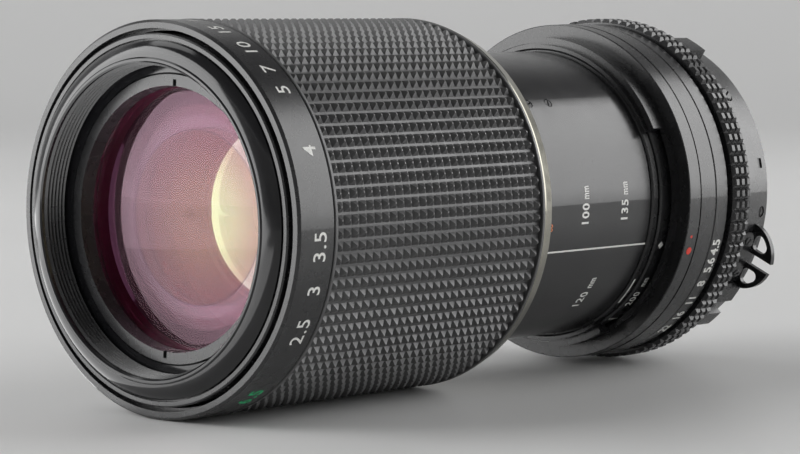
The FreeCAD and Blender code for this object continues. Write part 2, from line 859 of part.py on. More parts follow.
def group_cell(front, length, glass_r, glass_front, bulge, pin_y, pin_angles):
    """A cell that slides in the guide tube, with a hole for each of its pins."""
    outer = guide_bore_r - running_fit
    rear = front + length
    bore = glass_r + glass_gap
    seat = rear - group_lip
    profile = [(front, bore), (front, outer), (rear, outer), (rear, bore - group_lip), (seat, bore - group_lip)]
    profile += [(seat, bore)] + rolled_edge(glass_front, glass_r, bulge)
    shape = turned(profile)
    for angle in pin_angles:
        shape = shape.cut(stud(pin_base_r - seat_gap, outer + cut_past, angle, pin_y, pin_r + seat_gap))
    return shape


def group_pins(pin_y, pin_angles):
    """The pins that carry a moving group in the cam sleeve."""
    pins = []
    for angle in pin_angles:
        pins.append(stud(pin_base_r, cam_r - slide_gap, angle, pin_y, pin_r))
    return Part.makeCompound(pins)


def variator_first():
    """Where the edge of the variator's first glass starts."""
    return variator_front + variator_glass_inset


def variator_glasses():
    """The variator's two glasses and the spacer ring between them."""
    first = variator_first()
    second = variator_front + variator_length - group_lip - glass_gap - variator_glass_edges[1]
    glasses = []
    for place, edge, ahead, behind in zip((first, second), variator_glass_edges, variator_front_bulges,
                                          variator_rear_bulges):
        glasses.append(lens_glass(place, edge, variator_glass_r, ahead, behind))
    spacer_front = first + variator_glass_edges[0] + seat_gap
    spacer = tube(spacer_front, second - seat_gap, variator_glass_r - spacer_wall, variator_glass_r)
    return glasses + [spacer]


def compensator_place():
    """Where the edge of the compensator's glass starts, with its crown clear of the cell's lip."""
    lip_r = compensator_glass_r + glass_gap - group_lip
    room = glass_gap + crown(compensator_glass_r, compensator_glass_bulge, lip_r)
    return compensator_front + compensator_length - group_lip - room - compensator_glass_edge


def compensator_glass():
    """The compensator's single glass, against the lip of its cell."""
    return lens_glass(compensator_place(), compensator_glass_edge, compensator_glass_r,
                      compensator_glass_bulge, compensator_glass_bulge)


def relay_front_cell():
    """The fixed cell ahead of the iris, on a flange in the main barrel."""
    outer = relay_front_glass_r + relay_front_wall
    bore = relay_front_glass_r + glass_gap
    rear = iris_housing_front - seat_gap
    flange_front = guide_rear + seat_gap
    seat = rear - relay_front_lip
    profile = [(relay_front_y, bore), (relay_front_y, outer), (flange_front, outer)]
    profile += [(flange_front, iris_housing_r), (rear, iris_housing_r), (rear, bore - relay_front_lip)]
    profile += [(seat, bore - relay_front_lip), (seat, bore)]
    return turned(profile + rolled_edge(relay_front_place(), relay_front_glass_r, relay_front_bulges[0]))


def relay_front_place():
    """Where the edge of the glass ahead of the iris starts."""
    return iris_housing_front - relay_front_lip - glass_gap - relay_front_edge


def relay_front_glass():
    """The glass ahead of the iris, against the lip of its cell."""
    ahead, behind = relay_front_bulges
    return lens_glass(relay_front_place(), relay_front_edge, relay_front_glass_r, ahead, behind)


def iris_housing():
    """The cup that holds the iris, with a pivot hole for each blade and a slot for the lever."""
    rear = iris_base_y + iris_base_thickness
    profile = [(iris_housing_front, iris_bore_r), (iris_housing_front, iris_housing_r), (rear, iris_housing_r)]
    profile += [(rear, iris_base_bore_r), (iris_base_y, iris_base_bore_r), (iris_base_y, iris_bore_r)]
    shape = turned(profile)
    for i in range(blade_count):
        angle = iris_first_angle + i * 360.0 / blade_count
        hole = rod(iris_base_y - cut_past, rear + cut_past, pivot_circle_r, angle, pivot_pin_r + running_fit)
        shape = shape.cut(hole)
    margin = math.degrees(clear / lever_inner_r)
    start = lever_angle - lever_width_angle / 2 - margin
    sweep = lever_width_angle + actuator_turn() + 2 * margin
    slot = tube(iris_base_y - cut_past, rear + cut_past, lever_inner_r - clear, lever_outer_r + clear,
                start, sweep)
    return shape.cut(slot)


def actuator_turn():
    """How far the actuator ring turns to swing the blades shut."""
    arm = drive_circle_r - pivot_circle_r
    swing = math.radians(blade_turn)
    return math.degrees(math.atan2(arm * math.sin(swing), pivot_circle_r + arm * math.cos(swing)))


def blade_plane(i):
    """The front face of one blade. The blades lie one behind another, like cards."""
    return iris_base_y - slide_gap - blade_thickness - i * blade_pitch


def iris_blade(i):
    """One curved blade with its lug, pivot pin and drive pin."""
    angle = iris_first_angle + i * 360.0 / blade_count
    front = blade_plane(i)
    rear = front + blade_thickness
    body = tube(front, rear, iris_open_r, iris_open_r + blade_width, 0.0, blade_sweep)
    end_r = blade_width / 2
    middle_r = iris_open_r + end_r
    tip = rod(front, rear, middle_r, blade_sweep, end_r)
    root = rod(front, rear, middle_r, 0.0, end_r)
    lug = block(middle_r, drive_circle_r, front, rear, 2 * blade_lug_r, 0.0)
    lug_end = rod(front, rear, drive_circle_r, 0.0, blade_lug_r)
    pivot = rod(rear, iris_base_y + iris_base_thickness - slide_gap, pivot_circle_r, 0.0, pivot_pin_r)
    drive = rod(actuator_front() + slide_gap, front, drive_circle_r, 0.0, drive_pin_r)
    shape = body.fuse([tip, root, lug, lug_end, pivot, drive]).removeSplitter()
    return spun(shape, angle)


def actuator_front():
    """The front face of the actuator ring."""
    return blade_plane(blade_count - 1) - slide_gap - actuator_thickness


def blade_actuator_ring():
    """The ring that swings the blades, with a slot for each drive pin."""
    front = actuator_front()
    shape = tube(front, front + actuator_thickness, actuator_bore_r, iris_bore_r - running_fit)
    arm = drive_circle_r - pivot_circle_r
    swing = math.radians(blade_turn)
    least_r = math.hypot(pivot_circle_r + arm * math.cos(swing), arm * math.sin(swing))
    reach = drive_pin_r + drive_pin_gap
    rear = front + actuator_thickness
    for i in range(blade_count):
        angle = iris_first_angle + i * 360.0 / blade_count
        slot = block(least_r - reach, drive_circle_r + reach, front - cut_past, rear + cut_past,
                     2 * reach, angle)
        shape = shape.cut(slot)
    return shape


def stop_down_lever():
    """The lever from the actuator ring to the mount, which the camera moves."""
    front = actuator_front() + actuator_thickness
    start = lever_angle - lever_width_angle / 2
    arm = tube(front, lever_tip_y, lever_inner_r, lever_outer_r, start, lever_width_angle)
    tip = tube(lever_tip_y - lever_tip_length, lever_tip_y, lever_inner_r - lever_tip_step, lever_outer_r,
               start, lever_width_angle)
    return arm.fuse(tip).removeSplitter()


def rear_cell():
    """The rear cell, carried by a web in the housing and slotted for the lever."""
    bore = rear_glass_r + glass_gap
    web_rear = rear_web_front + rear_web
    web_r = sleeve_tube_r - sleeve_tube_wall - seat_gap
    front_bore = rear_glass_r - rear_step
    profile = [(rear_cell_front, front_bore), (rear_cell_front, rear_cell_r), (rear_web_front, rear_cell_r)]
    profile += [(rear_web_front, web_r), (web_rear, web_r), (web_rear, rear_cell_r)]
    profile += [(rear_cell_rear, rear_cell_r), (rear_cell_rear, bore), (web_rear, bore), (web_rear, front_bore)]
    shape = turned(profile)
    margin = math.degrees(clear / lever_inner_r)
    start = lever_angle - lever_width_angle / 2 - margin
    sweep = lever_width_angle + actuator_turn() + 2 * margin
    slot = tube(rear_web_front - cut_past, web_rear + cut_past, rear_cell_r, lever_outer_r + clear,
                start, sweep)
    return shape.cut(slot)


def rear_glasses():
    """The two rear glasses, the spacer between them and the ring that holds them."""
    ring_front = rear_cell_rear - rear_ring_inset - rear_ring_length
    ring_bore = rear_glass_r - rear_ring_wall
    spacer_bore = rear_glass_r - spacer_wall
    first = rear_web_front + rear_web + seat_gap + crown(rear_glass_r, rear_front_bulges[0],
                                                         rear_glass_r - rear_step)
    second = ring_front - glass_gap - crown(rear_glass_r, rear_rear_bulges[1], ring_bore) - rear_glass_edges[1]
    glasses = []
    for place, edge, ahead, behind in zip((first, second), rear_glass_edges, rear_front_bulges,
                                          rear_rear_bulges):
        glasses.append(lens_glass(place, edge, rear_glass_r, ahead, behind))
    spacer_front = first + rear_glass_edges[0] + seat_gap + crown(rear_glass_r, rear_rear_bulges[0],
                                                                  spacer_bore)
    spacer_rear = second - seat_gap - crown(rear_glass_r, rear_front_bulges[1], spacer_bore)
    spacer = tube(spacer_front, spacer_rear, spacer_bore, rear_glass_r)
    ring = tube(ring_front, ring_front + rear_ring_length, ring_bore, rear_glass_r)
    return glasses + [spacer, ring]


def rear_baffle():
    """The plate behind the last glass, with a rectangular window."""
    front = rear_cell_rear + seat_gap
    plate = rod(front, front + baffle_thickness, 0, 0, rear_cell_r)
    corner = Vector(-baffle_window_width / 2, front - cut_past, -baffle_window_height / 2)
    window = Part.makeBox(baffle_window_width, baffle_thickness + 2 * cut_past, baffle_window_height, corner)
    edges = [edge for edge in window.Edges if abs(edge.tangentAt(edge.FirstParameter).y) > 0.9]
    return plate.cut(window.makeFillet(baffle_corner_r, edges))


def knurl_band():
    """The band of blocks round the aperture ring, each a four-sided pyramid with its top cut flat."""
    pitch = (knurl_rear - knurl_front) / knurl_rows
    step = 360.0 / knurl_count
    low = (1 - knurl_top_share) / 2
    high = 1 - low
    rows = [knurl_front + pitch * j for j in range(knurl_rows + 1)]
    faces = []
    for k in range(knurl_count):
        a0 = knurl_first_angle + (k - 0.5) * step
        a1 = a0 + step
        for j in range(knurl_rows):
            corners = []
            tops = []
            for around, along in ((0, 0), (1, 0), (1, 1), (0, 1)):
                corners.append(spot(knurl_root_r, a0 + around * step, rows[j + along]))
                top_y = rows[j] + pitch * (high if along else low)
                tops.append(spot(knurl_tip_r, a0 + step * (high if around else low), top_y))
            for m in range(4):
                n = (m + 1) % 4
                side = [corners[m], corners[n], tops[n], tops[m], corners[m]]
                faces.append(Part.Face(Part.makePolygon(side)))
            faces.append(Part.Face(Part.makePolygon(tops + tops[:1])))
        inner = [spot(knurl_core_r, a0, rows[0]), spot(knurl_core_r, a1, rows[0])]
        inner += [spot(knurl_core_r, a1, rows[-1]), spot(knurl_core_r, a0, rows[-1])]
        faces.append(Part.Face(Part.makePolygon(inner + inner[:1])))
        for y in (rows[0], rows[-1]):
            end = [spot(knurl_core_r, a0, y), spot(knurl_root_r, a0, y), spot(knurl_root_r, a1, y)]
            end += [spot(knurl_core_r, a1, y)]
            faces.append(Part.Face(Part.makePolygon(end + end[:1])))
    band = Part.Solid(Part.makeShell(faces))
    if band.Volume < 0:
        band.reverse()
    return band


def aperture_ring():
    """The aperture ring: number band, groove, knurl, skirt, its raised tabs and a small pocket."""
    bore = sleeve_tube_r + running_fit
    core = knurl_core_r + knurl_root_overlap
    profile = [(ring_front, bore), (ring_front, housing_r - fine_edge), (ring_front + fine_edge, housing_r)]
    profile += [(number_band_end, housing_r), (number_band_end, ring_groove_r), (knurl_front, ring_groove_r)]
    profile += [(knurl_front, core), (knurl_rear, core), (knurl_rear, skirt_front_r), (ring_rear, skirt_rear_r)]
    profile += [(ring_rear, bore)]
    shape = turned(profile)
    race = tube(ball_y - race_width / 2, ball_y + race_width / 2, bore - cut_past, race_r)
    shape = shape.cut(race)
    turns = [0.0] + [first_stop_turn + i * stop_turn for i in range(full_stops + 1)]
    for turn in turns:
        shape = shape.cut(stud(race_r - cut_past, race_r + detent_depth, ball_angle - turn, ball_y, detent_r))
    floor = bore + ring_hole_floor
    for angle, spread in zip(ring_tab_angles, ring_tab_spread):
        tab = tube(knurl_rear - knurl_root_overlap, ring_tab_rear, floor, ring_tab_r, angle - spread / 2, spread)
        shape = shape.fuse(tab)
    for offset in (-prong_screw_offset, prong_screw_offset):
        hole = stud(floor, ring_tab_r, prong_angle + offset, prong_screw_y, prong_screw_r + seat_gap)
        shape = shape.cut(hole)
    margin = math.degrees(slide_gap / prong_foot_r)
    start = prong_angle - prong_foot_spread / 2 - margin
    seat = tube(prong_foot_front - seat_gap, prong_y + prong_thickness + seat_gap, prong_seat_r(),
                ring_tab_r + cut_past, start, prong_foot_spread + 2 * margin)
    shape = shape.cut(seat)
    shape = shape.fuse(knurl_band())
    screw_hole = stud(floor, housing_r, ring_screw_angle, ring_screw_y, ring_screw_r + seat_gap)
    screw_sink = stud(skirt_r(ring_screw_y) - ring_screw_sink, housing_r, ring_screw_angle, ring_screw_y,
                      ring_screw_r + ring_screw_sink_gap)
    set_hole = stud(floor, housing_r, skirt_screw_angle, skirt_screw_y, skirt_screw_r + seat_gap)
    pocket_rear = skirt_pocket_y + skirt_pocket_length / 2
    pocket = block(skirt_r(skirt_pocket_y) - skirt_pocket_depth, housing_r, pocket_rear - skirt_pocket_length,
                   pocket_rear, skirt_pocket_width, skirt_pocket_angle)
    for space in (screw_hole, screw_sink, set_hole, pocket):
        shape = shape.cut(space)
    return shape


def prong_seat_r():
    """The radius of the curved seat that the prong's foot lies on."""
    return prong_foot_r - prong_foot_thickness


def skirt_r(y):
    """The radius of the skirt's sloping surface at a place along the axis."""
    return skirt_front_r - skirt_slope * (y - knurl_rear) / (ring_rear - knurl_rear)


def skirt_screw():
    """The headless screw sunk in the skirt."""
    floor = sleeve_tube_r + running_fit + ring_hole_floor + seat_gap
    return stud(floor, skirt_r(skirt_screw_y) - skirt_screw_drop, skirt_screw_angle, skirt_screw_y,
                skirt_screw_r)


def ring_screw():
    """The round-headed screw behind the aperture ring's knurl."""
    floor = sleeve_tube_r + running_fit + ring_hole_floor + seat_gap
    top = skirt_r(ring_screw_y) + ring_screw_rise
    return stud(floor, top, ring_screw_angle, ring_screw_y, ring_screw_r)


def metering_prong():
    """The two-eared prong: a half disc with an open slot, a hole in each ear and a curved foot."""
    front = prong_y
    rear = prong_y + prong_thickness
    seat_r = prong_seat_r()
    ahead = front - cut_past
    behind = rear + cut_past
    ears = rod(front, rear, prong_centre_r, 0, prong_r)
    tip_r = prong_centre_r + prong_r + cut_past
    rib = prong_slot_width + 2 * prong_rib
    holes = rod(ahead, behind, prong_centre_r, 0, prong_hole_r)
    holes = holes.cut(block(0, tip_r, ahead, behind, rib, 0))
    holes = holes.cut(block(0, prong_slot_floor_r, ahead, behind, 2 * prong_r, 0))
    corners = [edge for edge in holes.Edges if abs(edge.tangentAt(edge.FirstParameter).y) > 0.9]
    holes = holes.makeFillet(prong_hole_corner, corners)
    ears = ears.cut(holes).cut(block(prong_slot_floor_r, tip_r, ahead, behind, prong_slot_width, 0))
    ears = ears.cut(rod(ahead, behind, 0, 0, skirt_r(prong_y) + seat_gap))
    foot = tube(prong_foot_front, rear, seat_r + seat_gap, prong_foot_r, -prong_foot_spread / 2,
                prong_foot_spread)
    shape = spun(ears.fuse(foot).removeSplitter(), prong_angle)
    for offset in (-prong_screw_offset, prong_screw_offset):
        hole = stud(seat_r, prong_foot_r + cut_past, prong_angle + offset, prong_screw_y,
                    prong_screw_r + seat_gap)
        shape = shape.cut(hole)
    return shape


def prong_screws():
    """Two screws through the prong's foot into the aperture ring."""
    floor = sleeve_tube_r + running_fit + ring_hole_floor + seat_gap
    top = prong_foot_r + prong_screw_rise
    screws = []
    for offset in (-prong_screw_offset, prong_screw_offset):
        screws.append(stud(floor, top, prong_angle + offset, prong_screw_y, prong_screw_r))
    return Part.makeCompound(screws)


def click_ball():
    """The ball that clicks into the ring's detents."""
    return Part.makeSphere(ball_r, spot(ball_centre_r, ball_angle, ball_y))


def click_spring():
    """The small coil spring under the click ball."""
    length = ball_centre_r - ball_r - spring_base_r - 2 * spring_wire_r
    helix = Part.makeHelix(length / spring_turns, length, spring_coil_r)
    start = Vector(spring_coil_r, 0, 0)
    ring = Part.Wire(Part.makeCircle(spring_wire_r, start, Vector(0, 1, 0)))
    coil = Part.Wire(helix.Edges).makePipeShell([ring], True, True)
    coil.rotate(ORIGIN, Vector(0, 1, 0), 90)
    coil.translate(Vector(spring_base_r + spring_wire_r + seat_gap, ball_y, 0))
    return spun(coil, ball_angle)


def bayonet_mount():
    """The bright bayonet mount: flange, spigot and three lugs."""
    front = -flange_thickness + seat_gap
    profile = [(front, spigot_bore_r), (front, flange_r), (-flange_edge, flange_r), (0, flange_r - flange_edge)]
    profile += [(0, root_relief_r), (-root_relief_depth, root_relief_r), (-root_relief_depth, spigot_r)]
    profile += [(spigot_length, spigot_r), (spigot_length, spigot_bore_r)]
    shape = turned(profile)
    for centre, spread in zip(lug_centres, lug_spreads):
        lug = tube(lug_front, lug_front + lug_thickness, spigot_r - lug_root, lug_r, centre - spread / 2,
                   spread)
        shape = shape.fuse(lug)
    for i in range(mount_screw_count):
        angle = mount_screw_first + i * 360.0 / mount_screw_count
        hole = rod(front - cut_past, cut_past, mount_screw_circle_r, angle, mount_screw_r + seat_gap)
        sink = rod(-mount_screw_head - seat_gap, cut_past, mount_screw_circle_r, angle,
                   mount_screw_head_r + seat_gap)
        shape = shape.cut(hole).cut(sink)
    slot = block(lock_slot_inner_r, flange_r + cut_past, -lock_slot_depth, cut_past, lock_slot_width,
                 lock_slot_angle)
    shape = shape.cut(slot)
    return shape.removeSplitter()


def mount_screws():
    """The screws that hold the bayonet mount on the housing."""
    screws = []
    for i in range(mount_screw_count):
        angle = mount_screw_first + i * 360.0 / mount_screw_count
        shank = rod(-mount_screw_length, -mount_screw_head, mount_screw_circle_r, angle, mount_screw_r)
        head = rod(-mount_screw_head, -mount_screw_recess, mount_screw_circle_r, angle, mount_screw_head_r)
        screws.append(shank.fuse(head).removeSplitter())
    return Part.makeCompound(screws)


save("main_barrel", main_barrel())
save("barrel_screws", barrel_screws())
save("helicoid_tube", helicoid_tube())
save("rear_housing", rear_housing())
save("stop_ring", stop_ring())
save("index_ring", index_ring())
save("guide_tube", guide_tube())
save("relay_front_cell", relay_front_cell())
save("relay_front_glass", relay_front_glass())
save("iris_housing", iris_housing())
save("rear_cell", rear_cell())
for name, piece in zip(("rear_glass_1", "rear_glass_2", "rear_spacer", "rear_retaining_ring"), rear_glasses()):
    save(name, piece)
save("rear_baffle", rear_baffle())
save("bayonet_mount", bayonet_mount())
save("mount_screws", mount_screws())
save("click_ball", click_ball())
save("click_spring", click_spring())
save("zoom_slider", zoom_slider())
save("zoom_keys", zoom_keys())
save("front_bezel", sleeve_front())
save("grip_sleeve", grip_sleeve())
save("rubber_grip", rubber_grip())
save("rear_trim_ring", rear_trim_ring())
save("focus_key", focus_key())
save("front_cell", front_cell())
for number, glass in enumerate(front_glasses(), start=1):
    save("front_glass_" + str(number), glass)
save("front_spacer", front_spacer())
save("front_retaining_ring", front_retaining_ring())
save("front_barrel", front_barrel())
save("filter_ring", filter_ring())
save("helicoid_nut", helicoid_nut())
save("cam_sleeve", cam_sleeve())
save("variator_cell", group_cell(variator_front, variator_length, variator_glass_r, variator_first(),
                                 variator_front_bulges[0], variator_pin_y, variator_pin_angles))
for name, piece in zip(("variator_glass_1", "variator_glass_2", "variator_spacer"), variator_glasses()):
    save(name, piece)
save("variator_pins", group_pins(variator_pin_y, variator_pin_angles))
save("compensator_cell", group_cell(compensator_front, compensator_length, compensator_glass_r,
                                    compensator_place(), compensator_glass_bulge, compensator_pin_y,
                                    compensator_pin_angles))
save("compensator_glass", compensator_glass())
save("compensator_pins", group_pins(compensator_pin_y, compensator_pin_angles))
save("aperture_ring", aperture_ring())
save("ring_screw", ring_screw())
save("skirt_screw", skirt_screw())
save("metering_prong", metering_prong())
save("prong_screws", prong_screws())
save("blade_actuator_ring", blade_actuator_ring())
save("stop_down_lever", stop_down_lever())
for blade in range(blade_count):
    save("iris_blade_" + str(blade + 1), iris_blade(blade))
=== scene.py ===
"""Looks for the push-pull zoom lens: materials, grip, painted scales, threads, screws, lights and camera."""

import math

import bmesh
import bpy
from mathutils import Matrix, Vector

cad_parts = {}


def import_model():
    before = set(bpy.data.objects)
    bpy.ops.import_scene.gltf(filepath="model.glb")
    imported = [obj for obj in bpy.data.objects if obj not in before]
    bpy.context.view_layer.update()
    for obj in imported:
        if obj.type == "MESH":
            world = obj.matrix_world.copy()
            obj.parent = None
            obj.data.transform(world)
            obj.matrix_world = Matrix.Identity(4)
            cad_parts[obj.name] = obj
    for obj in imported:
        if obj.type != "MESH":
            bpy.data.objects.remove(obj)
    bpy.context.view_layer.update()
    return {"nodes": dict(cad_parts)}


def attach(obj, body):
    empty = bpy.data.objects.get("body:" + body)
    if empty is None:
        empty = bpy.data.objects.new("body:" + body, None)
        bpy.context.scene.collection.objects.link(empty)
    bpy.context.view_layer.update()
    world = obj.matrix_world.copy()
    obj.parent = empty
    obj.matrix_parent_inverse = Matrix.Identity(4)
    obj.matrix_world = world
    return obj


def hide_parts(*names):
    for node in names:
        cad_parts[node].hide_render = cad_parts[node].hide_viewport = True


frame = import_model()
nodes = frame["nodes"]
scene = bpy.context.scene

M = 0.001

# Widths of the lumps of noise, in millimetres
CLOUD_MM = 6.0
SMEAR_MM = 3.0
SPECK_MM = 0.35
DUST_MM = 0.5
FILM_MM = 12.0
RUB_MM = 0.6
WEAR_MM = 0.25
PIT_MM = 0.12
PAPER_MM = 260.0
PAPER_GLOSS_MM = 90.0

SPECK_COLOUR = (0.32, 0.31, 0.3, 1.0)

# Places on the lens, in millimetres and degrees, as the solids have them
RIM_R = 33.0
BARREL_R = 26.8
BAND_R = 31.8
RUBBER_FRONT = -124.8
RUBBER_REAR = -72.32
RUBBER_BORE = 32.22
RUBBER_ROOT = 32.3
RUBBER_TIP = 33.1
GRIP_ROWS = 96
GRIP_COLUMNS = 28
THREAD_R = 26.0
INDEX_ANGLE = -18.0
INDEX_BAND_R = 27.3
INDEX_RING_R = 27.8
FLOOR_Z = -33.1


# Small tools

def spot(r, angle, y):
    """The point at radius r (mm), at an angle round the axis and a place along it, in metres."""
    a = math.radians(angle)
    return Vector((r * math.cos(a) * M, y * M, r * math.sin(a) * M))


def add_object(name, mesh, body, material, smooth=False):
    """Links a mesh as a piece that rides on a body."""
    piece = bpy.data.objects.new(name, mesh)
    scene.collection.objects.link(piece)
    mesh.materials.append(material)
    if smooth:
        for face in mesh.polygons:
            face.use_smooth = True
    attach(piece, body)
    return piece


def mesh_from(name, verts, faces):
    """A mesh from points in metres."""
    mesh = bpy.data.meshes.new(name)
    mesh.from_pydata([tuple(v) for v in verts], [], faces)
    mesh.validate()
    mesh.update()
    return mesh


def revolve(profile, count=192):
    """Vertices and quads of an open or closed (y, r) profile turned round the axis."""
    verts = []
    for k in range(count):
        for y, r in profile:
            verts.append(spot(r, 360.0 * k / count, y))
    n = len(profile)
    faces = []
    for k in range(count):
        a = k * n
        b = ((k + 1) % count) * n
        for i in range(n - 1):
            faces.append((a + i, a + i + 1, b + i + 1, b + i))
    return verts, faces


# Materials

class Build:
    """A short way to add and join shader nodes."""

    def __init__(self, name):
        self.material = bpy.data.materials.new(name)
        self.material.use_nodes = True
        self.tree = self.material.node_tree
        self.shader = self.tree.nodes["Principled BSDF"]
        coords = self.tree.nodes.new("ShaderNodeTexCoord")
        self.place = coords.outputs["Object"]

    def node(self, kind, operation=None):
        """A new node, set to an operation where its kind has one."""
        made = self.tree.nodes.new(kind)
        if operation:
            made.operation = operation
        return made

    def link(self, source, target):
        self.tree.links.new(source, target)

    def join(self, operation, first, second):
        """The sum or product of two values."""
        made = self.node("ShaderNodeMath", operation)
        self.link(first, made.inputs[0])
        if isinstance(second, float):
            made.inputs[1].default_value = second
        else:
            self.link(second, made.inputs[1])
        return made.outputs["Value"]

    def noise(self, size_mm, detail=2.0):
        """Noise whose lumps are about size_mm wide."""
        made = self.node("ShaderNodeTexNoise")
        made.inputs["Scale"].default_value = 1000.0 / size_mm
        made.inputs["Detail"].default_value = detail
        self.link(self.place, made.inputs["Vector"])
        return made.outputs["Fac"]

    def length(self, vector):
        """The length of a vector, such as the distance of a point."""
        made = self.node("ShaderNodeVectorMath", "LENGTH")
        self.link(vector, made.inputs[0])
        return made.outputs["Value"]

    def span(self, value, low, high, start=0.3, end=0.7):
        """Maps a value that runs from start to end onto low to high."""
        made = self.node("ShaderNodeMapRange")
        made.inputs["From Min"].default_value = start
        made.inputs["From Max"].default_value = end
        made.inputs["To Min"].default_value = low
        made.inputs["To Max"].default_value = high
        self.link(value, made.inputs["Value"])
        return made.outputs["Result"]

    def ramp(self, value, stops):
        """A colour ramp through (place, colour) stops."""
        made = self.node("ShaderNodeValToRGB")
        ramp = made.color_ramp
        while len(ramp.elements) < len(stops):
            ramp.elements.new(0.5)
        for element, (place, colour) in zip(ramp.elements, stops):
            element.position = place
            element.color = (*colour, 1.0)
        self.link(value, made.inputs["Fac"])
        return made.outputs["Color"]

    def bump(self, value, depth_mm):
        """A surface that rises with a value, depth_mm at most."""
        made = self.node("ShaderNodeBump")
        made.inputs["Distance"].default_value = depth_mm * M
        made.inputs["Strength"].default_value = 1.0
        self.link(value, made.inputs["Height"])
        return made.outputs["Normal"]


def finish(name, dark, light, rough, spread, grain, depth, metallic=0.0, specular=0.5, speck=0.0):
    """A lacquered or metal finish: colour mottled from dark to light, gloss that varies by spread, grain of a
    width and a depth in millimetres, and a share of dust in specks."""
    b = Build(name)
    s = b.shader
    tone = b.ramp(b.noise(CLOUD_MM, detail=4.0), [(0.3, dark), (0.7, light)])
    if speck:
        mask = b.span(b.noise(SPECK_MM), 0.0, speck, start=0.66, end=0.78)
        mix = b.node("ShaderNodeMix")
        mix.data_type = "RGBA"
        b.link(mask, mix.inputs[0])
        b.link(tone, mix.inputs[6])
        mix.inputs[7].default_value = SPECK_COLOUR
        tone = mix.outputs[2]
    b.link(tone, s.inputs["Base Color"])
    smear = b.noise(SMEAR_MM, detail=5.0)
    b.link(b.span(smear, rough - spread, rough + spread), s.inputs["Roughness"])
    s.inputs["Metallic"].default_value = metallic
    s.inputs["Specular IOR Level"].default_value = specular
    b.link(b.bump(b.noise(grain), depth), s.inputs["Normal"])
    return b.material


def glass(name, zones, reach, tint, ior, painted_glow=None):
    """Coated glass. zones are (share of reach from the axis, colour) steps, with reach in millimetres; they
    tint the glass, and on the middle glass they are painted reflections. tint is the share and colour of the
    bare glass's reflection that its coating leaves. painted_glow, a painted light that the glass gives off
    though it is no lamp, is a strength and a colour, or None for the colours of the zones."""
    b = Build(name)
    s = b.shader
    s.inputs["Transmission Weight"].default_value = 1.0
    s.inputs["IOR"].default_value = ior
    s.inputs["Specular Tint"].default_value = (*tint, 1.0)
    flat = b.node("ShaderNodeVectorMath", "MULTIPLY")
    flat.inputs[1].default_value = (1.0, 0.0, 1.0)
    b.link(b.place, flat.inputs[0])
    share = b.span(b.length(flat.outputs["Vector"]), 0.0, 1.0, start=0.0, end=reach * M)
    zone = b.ramp(share, zones)
    b.link(zone, s.inputs["Base Color"])
    # Painted glow: the glass gives off light of its own, though it is no lamp.
    if painted_glow:
        s.inputs["Emission Strength"].default_value = painted_glow[0]
        if painted_glow[1]:
            s.inputs["Emission Color"].default_value = (*painted_glow[1], 1.0)
        else:
            b.link(zone, s.inputs["Emission Color"])
    dusty = 0.03
    b.link(b.span(b.noise(DUST_MM), 0.0, dusty, start=0.62, end=0.85), s.inputs["Roughness"])
    return b.material


def coating(name, colour, share):
    """A thin layer that mirrors a small share of the light and lets the rest through."""
    b = Build(name)
    s = b.shader
    weaker = tuple(c * 0.94 for c in colour)
    b.link(b.ramp(b.noise(FILM_MM), [(0.3, weaker), (0.7, colour)]), s.inputs["Base Color"])
    b.link(b.span(b.noise(RUB_MM), 0.02, 0.06, start=0.6, end=0.85), s.inputs["Roughness"])
    s.inputs["Metallic"].default_value = 1.0
    s.inputs["Alpha"].default_value = share
    return b.material


def paint(name, colour):
    """Paint filled into an engraved mark, a little uneven."""
    b = Build(name)
    s = b.shader
    darker = tuple(c * 0.72 for c in colour)
    b.link(b.ramp(b.noise(WEAR_MM, detail=3.0), [(0.28, darker), (0.5, colour)]), s.inputs["Base Color"])
    b.link(b.span(b.noise(RUB_MM), 0.42, 0.62), s.inputs["Roughness"])
    b.link(b.bump(b.noise(PIT_MM), depth_mm=0.012), s.inputs["Normal"])
    return b.material


satin_black = finish("satin_black", (0.012, 0.012, 0.013), (0.017, 0.017, 0.018), rough=0.27, spread=0.02,
                     grain=0.09, depth=0.0015, specular=0.56, speck=0.05)
barrel_black = finish("barrel_black", (0.012, 0.012, 0.013), (0.018, 0.018, 0.019), rough=0.22, spread=0.02,
                      grain=0.07, depth=0.0015, speck=0.05)
gloss_black = finish("gloss_black", (0.006, 0.006, 0.007), (0.010, 0.010, 0.011), rough=0.12, spread=0.02,
                     grain=0.1, depth=0.0008, speck=0.03)
# Dull maroon: on the front spacer a painted reflection of the coated glass, and on the front glass's rim edge
# paint in the same painted-reflection colour.
maroon_edge_paint_and_painted_reflection = finish("maroon_edge_paint_and_painted_reflection", (0.07, 0.010, 0.025), (0.10, 0.014, 0.038), rough=0.8, spread=0.05,
                     grain=0.12, depth=0.002, specular=0.0)
matt_black = finish("matt_black", (0.006, 0.006, 0.006), (0.011, 0.011, 0.011), rough=0.62, spread=0.06,
                    grain=0.12, depth=0.006)
rubber = finish("rubber", (0.036, 0.036, 0.037), (0.054, 0.054, 0.055), rough=0.50, spread=0.05,
                grain=0.16, depth=0.006, specular=1.0, speck=0.3)
bright_metal = finish("bright_metal", (0.60, 0.60, 0.61), (0.72, 0.72, 0.73), rough=0.24, spread=0.06,
                      grain=0.3, depth=0.0015, metallic=1.0)
screw_black = finish("screw_black", (0.018, 0.018, 0.019), (0.03, 0.03, 0.031), rough=0.30, spread=0.05,
                     grain=0.08, depth=0.002)
brass = finish("brass", (0.48, 0.36, 0.14), (0.58, 0.44, 0.2), rough=0.3, spread=0.06,
               grain=0.2, depth=0.002, metallic=1.0)
blade_steel = finish("blade_steel", (0.035, 0.036, 0.04), (0.06, 0.061, 0.066), rough=0.36, spread=0.06,
                     grain=0.2, depth=0.001, metallic=0.6)
trim_metal = finish("trim_metal", (0.24, 0.23, 0.19), (0.33, 0.32, 0.27), rough=0.18, spread=0.04,
                    grain=0.2, depth=0.001, metallic=1.0)

